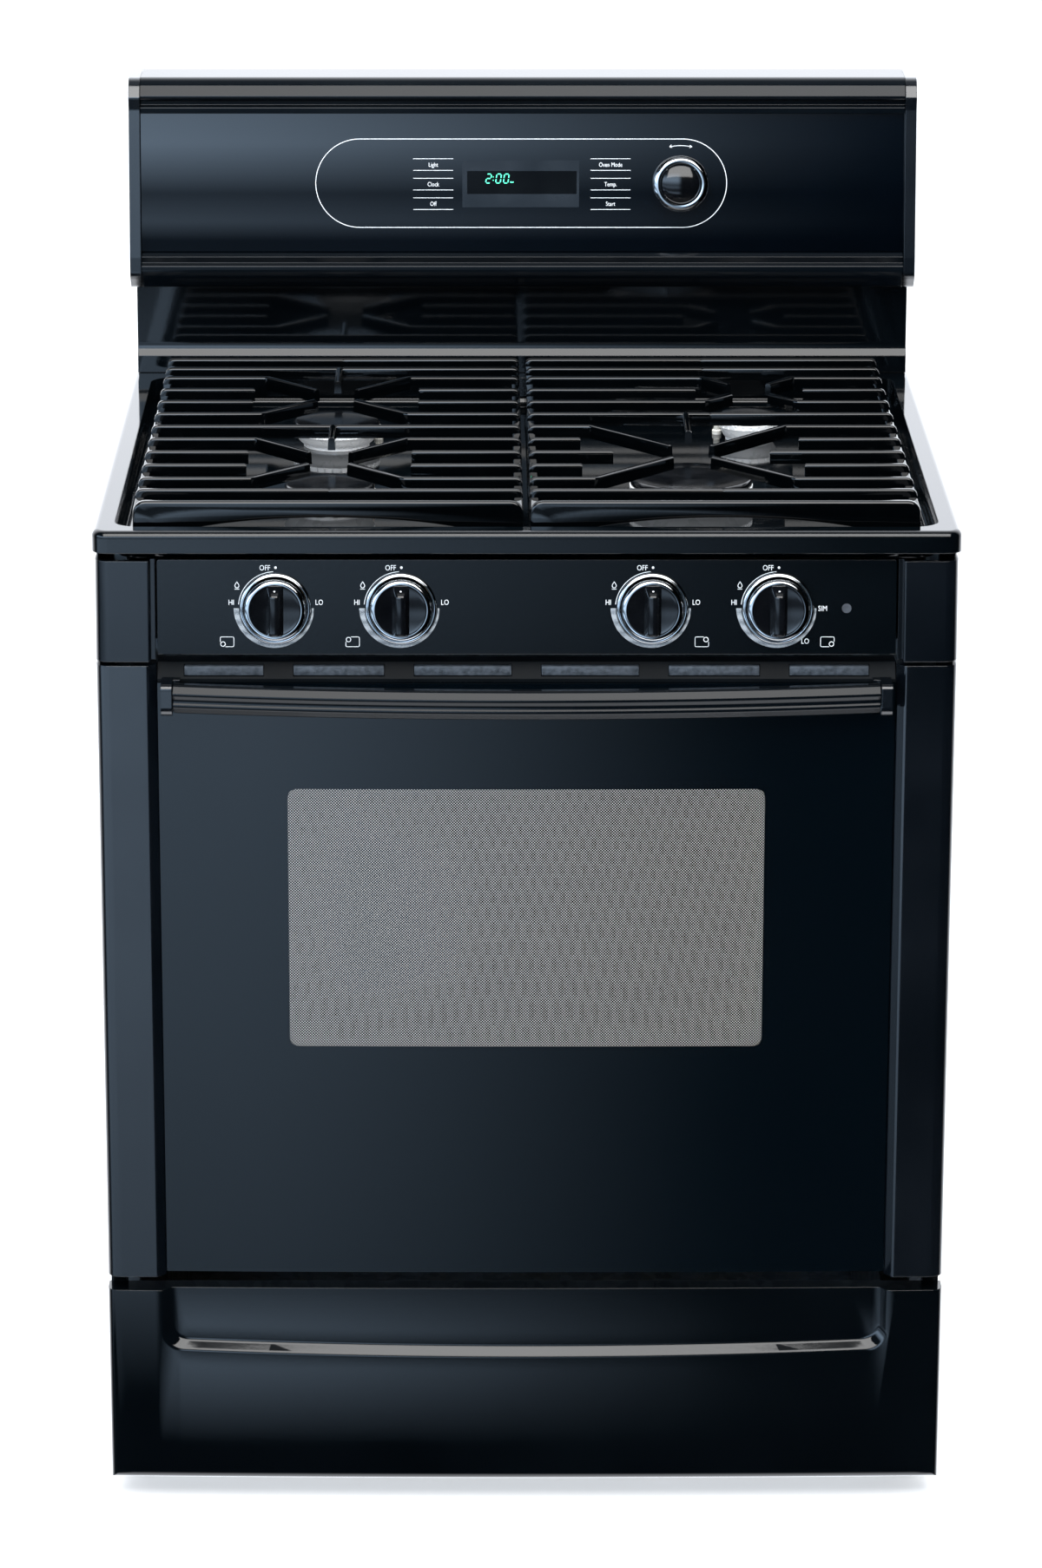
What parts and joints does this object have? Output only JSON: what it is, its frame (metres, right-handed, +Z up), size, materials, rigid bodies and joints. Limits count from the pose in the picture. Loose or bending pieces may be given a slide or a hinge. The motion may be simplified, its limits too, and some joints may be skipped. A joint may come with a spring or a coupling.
{
  "type": "freestanding gas range",
  "caption": "Freestanding gas range with an oven behind a drop-down door, a storage drawer, cast grates over burners and a backguard with a clock.",
  "frame": {"origin": "on the floor, in the middle of the width and of the depth from handle to back", "axes": "+Z up, -Y out of the front, +X to the right of a cook who faces the range"},
  "size_m": [0.76, 0.7294, 1.208],
  "materials": {
    "black_enamel": "gloss enamel",
    "black_gloss_plastic": "gloss",
    "black_painted_aluminium": "gloss",
    "black_glass": "polished",
    "window_glass": "polished",
    "grey_porcelain": "speckled porcelain enamel",
    "galvanised_steel": "galvanised",
    "oven_burner_steel": "matte",
    "chrome_wire": "plated",
    "chrome": "polished",
    "brass": "machined",
    "cast_zinc": "as cast",
    "cast_iron_enamel": "gloss black enamel",
    "cap_enamel": "gloss black enamel",
    "cast_aluminium": "satin",
    "white_ceramic": "glazed",
    "knob_plastic": "gloss with a chrome ring",
    "glass_wool": "loose wool",
    "glass_braid": "braided",
    "lamp_glass": "clear",
    "grey_lens": "satin",
    "black_nylon": "moulded",
    "circuit_board": "lacquered"
  },
  "bodies": {
    "cabinet": {"base_frame": "galvanised_steel", "burner_heads": "cast_aluminium", "burner_tubes": "galvanised_steel", "console_end_caps": "black_gloss_plastic", "console_glass": "black_glass", "console_rear_cover": "galvanised_steel", "console_trims": "black_enamel", "control_panel": "black_enamel", "cooktop": "black_enamel", "cord_gland": "black_nylon", "display_module": "circuit_board", "drawer_rails": "galvanised_steel", "front_frame": "galvanised_steel", "gas_inlet": "cast_zinc", "gas_manifold": "galvanised_steel", "gas_valves": "brass", "hinge_receivers": "galvanised_steel", "indicator_lens": "grey_lens", "knob_bezels": "chrome", "levelling_feet": "black_nylon", "oven_burners": "oven_burner_steel", "oven_floor_plate": "grey_porcelain", "oven_insulation": "glass_wool", "oven_lamp": "lamp_glass", "oven_liner": "grey_porcelain", "oven_racks": "chrome_wire", "panel_ends": "black_gloss_plastic", "rack_guides": "chrome_wire", "rear_panel": "galvanised_steel", "rear_screws": "galvanised_steel", "riser": "black_enamel", "side_panels": "black_enamel", "spark_igniters": "white_ceramic"},
    "door": {"door_columns": "black_gloss_plastic", "door_glass": "black_glass", "door_top_trim": "black_enamel", "door_inner_panel": "grey_porcelain", "door_inner_glass": "window_glass", "door_seal": "glass_braid", "door_hinge_arms": "galvanised_steel", "handle_bar": "black_painted_aluminium", "handle_ends": "black_gloss_plastic"},
    "drawer": {"drawer_front": "black_enamel", "drawer_tray": "galvanised_steel", "drawer_slides": "galvanised_steel"},
    "valve_stem_front_left": {"valve_stem_front_left": "brass"},
    "knob_front_left": {"knob_front_left": "knob_plastic"},
    "burner_cap_front_left": {"burner_cap_front_left": "cap_enamel"},
    "valve_stem_rear_left": {"valve_stem_rear_left": "brass"},
    "knob_rear_left": {"knob_rear_left": "knob_plastic"},
    "burner_cap_rear_left": {"burner_cap_rear_left": "cap_enamel"},
    "valve_stem_rear_right": {"valve_stem_rear_right": "brass"},
    "knob_rear_right": {"knob_rear_right": "knob_plastic"},
    "burner_cap_rear_right": {"burner_cap_rear_right": "cap_enamel"},
    "valve_stem_front_right": {"valve_stem_front_right": "brass"},
    "knob_front_right": {"knob_front_right": "knob_plastic"},
    "burner_cap_front_right": {"burner_cap_front_right": "cap_enamel"},
    "grate_left": {"grate_left": "cast_iron_enamel"},
    "grate_right": {"grate_right": "cast_iron_enamel"},
    "dial": {"dial": "knob_plastic"}
  },
  "joints": [
    {"name": "door_hinge", "type": "hinge", "parent": "cabinet", "child": "door", "pos_m": [0, -0.297, 0.242], "axis": [1, 0, 0], "range_deg": [0, 90], "stiffness_Nm_per_rad": 30, "springref_deg": -6.88},
    {"name": "drawer_slide", "type": "slide", "parent": "cabinet", "child": "drawer", "axis": [0, -1, 0], "range_m": [0, 0.4]},
    {"name": "dial_turn", "type": "hinge", "parent": "cabinet", "child": "dial", "pos_m": [0.1525, 0.29388, 1.108], "axis": [0, -0.9927, 0.1203], "continuous": true},
    {"name": "knob_turn_front_left", "type": "hinge", "parent": "cabinet", "child": "valve_stem_front_left", "pos_m": [-0.22, -0.31343, 0.84384], "axis": [0, -0.9962, 0.0872], "range_deg": [0, 270]},
    {"name": "knob_push_front_left", "type": "slide", "parent": "valve_stem_front_left", "child": "knob_front_left", "axis": [0, 0.9962, -0.0872], "range_m": [0, 0.003], "stiffness_N_per_m": 900},
    {"name": "knob_turn_rear_left", "type": "hinge", "parent": "cabinet", "child": "valve_stem_rear_left", "pos_m": [-0.11, -0.31343, 0.84384], "axis": [0, -0.9962, 0.0872], "range_deg": [0, 270]},
    {"name": "knob_push_rear_left", "type": "slide", "parent": "valve_stem_rear_left", "child": "knob_rear_left", "axis": [0, 0.9962, -0.0872], "range_m": [0, 0.003], "stiffness_N_per_m": 900},
    {"name": "knob_turn_rear_right", "type": "hinge", "parent": "cabinet", "child": "valve_stem_rear_right", "pos_m": [0.11, -0.31343, 0.84384], "axis": [0, -0.9962, 0.0872], "range_deg": [0, 270]},
    {"name": "knob_push_rear_right", "type": "slide", "parent": "valve_stem_rear_right", "child": "knob_rear_right", "axis": [0, 0.9962, -0.0872], "range_m": [0, 0.003], "stiffness_N_per_m": 900},
    {"name": "knob_turn_front_right", "type": "hinge", "parent": "cabinet", "child": "valve_stem_front_right", "pos_m": [0.22, -0.31343, 0.84384], "axis": [0, -0.9962, 0.0872], "range_deg": [0, 270]},
    {"name": "knob_push_front_right", "type": "slide", "parent": "valve_stem_front_right", "child": "knob_front_right", "axis": [0, 0.9962, -0.0872], "range_m": [0, 0.003], "stiffness_N_per_m": 900},
    {"name": "grate_lift_left", "type": "slide", "parent": "cabinet", "child": "grate_left", "axis": [0, 0, 1], "range_m": [0, 0.06]},
    {"name": "grate_lift_right", "type": "slide", "parent": "cabinet", "child": "grate_right", "axis": [0, 0, 1], "range_m": [0, 0.06]},
    {"name": "cap_lift_front_left", "type": "slide", "parent": "cabinet", "child": "burner_cap_front_left", "axis": [0, 0, 1], "range_m": [0, 0.01]},
    {"name": "cap_lift_rear_left", "type": "slide", "parent": "cabinet", "child": "burner_cap_rear_left", "axis": [0, 0, 1], "range_m": [0, 0.01]},
    {"name": "cap_lift_rear_right", "type": "slide", "parent": "cabinet", "child": "burner_cap_rear_right", "axis": [0, 0, 1], "range_m": [0, 0.01]},
    {"name": "cap_lift_front_right", "type": "slide", "parent": "cabinet", "child": "burner_cap_front_right", "axis": [0, 0, 1], "range_m": [0, 0.01]}
  ]
}
